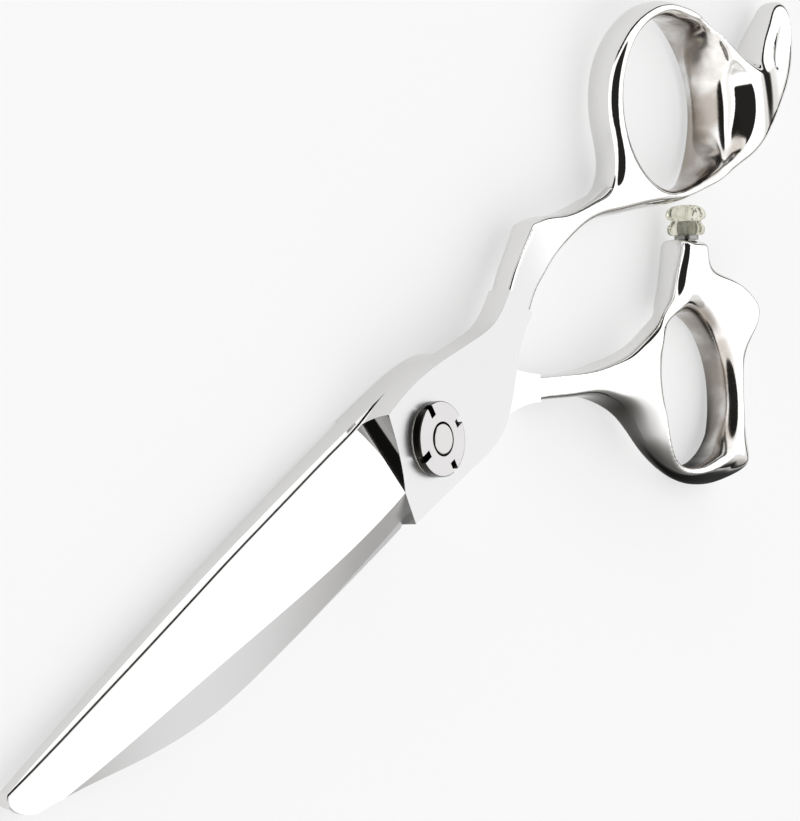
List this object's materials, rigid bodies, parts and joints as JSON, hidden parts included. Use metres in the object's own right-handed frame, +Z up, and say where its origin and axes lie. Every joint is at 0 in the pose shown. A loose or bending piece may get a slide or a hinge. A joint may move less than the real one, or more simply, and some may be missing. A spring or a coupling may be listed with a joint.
{
  "type": "hair cutting shears",
  "caption": "Offset hair cutting shears with wide sword-shaped blades, a tension dial on the pivot, a finger rest and a clear bumper between the rings.",
  "frame": {"origin": "centre of the bounding box in X and Y at the lowest point, shears closed and lying flat with the dial up", "axes": "+X from the blade tips towards the handles, +Y towards the finger ring, +Z up out of the tension dial"},
  "size_m": [0.1882, 0.0638, 0.0087],
  "materials": {
    "blade_steel": "mirror polished with a satin pivot plate",
    "handle_steel": "mirror polished",
    "hardware_steel": "turned and polished",
    "dial_steel": "satin",
    "spring_steel": "dark satin",
    "nylon": "matte",
    "clear_silicone": "clear, moulded in flutes"
  },
  "bodies": {
    "finger_lever": {"finger_blade": "blade_steel", "finger_handle": "handle_steel", "pivot_screw": "hardware_steel", "click_spring": "spring_steel", "dial_washer": "nylon", "centre_cap": "dial_steel"},
    "thumb_lever": {"thumb_blade": "blade_steel", "thumb_handle": "handle_steel", "pivot_bushing": "nylon", "centre_washer": "nylon", "rear_washer": "hardware_steel", "bumper_stud": "hardware_steel", "bumper": "clear_silicone"},
    "dial": {"tension_dial": "dial_steel"}
  },
  "joints": [
    {"name": "blade_pivot", "type": "hinge", "parent": "finger_lever", "child": "thumb_lever", "pos_m": [-0.00985, 0.00489, 0.00378], "axis": [0, 0, -1], "range_deg": [0, 62]},
    {"name": "dial_turn", "type": "hinge", "parent": "finger_lever", "child": "dial", "pos_m": [-0.00985, 0.00489, 0.00788], "axis": [0, 0, 1], "range_deg": [-180, 180]}
  ]
}
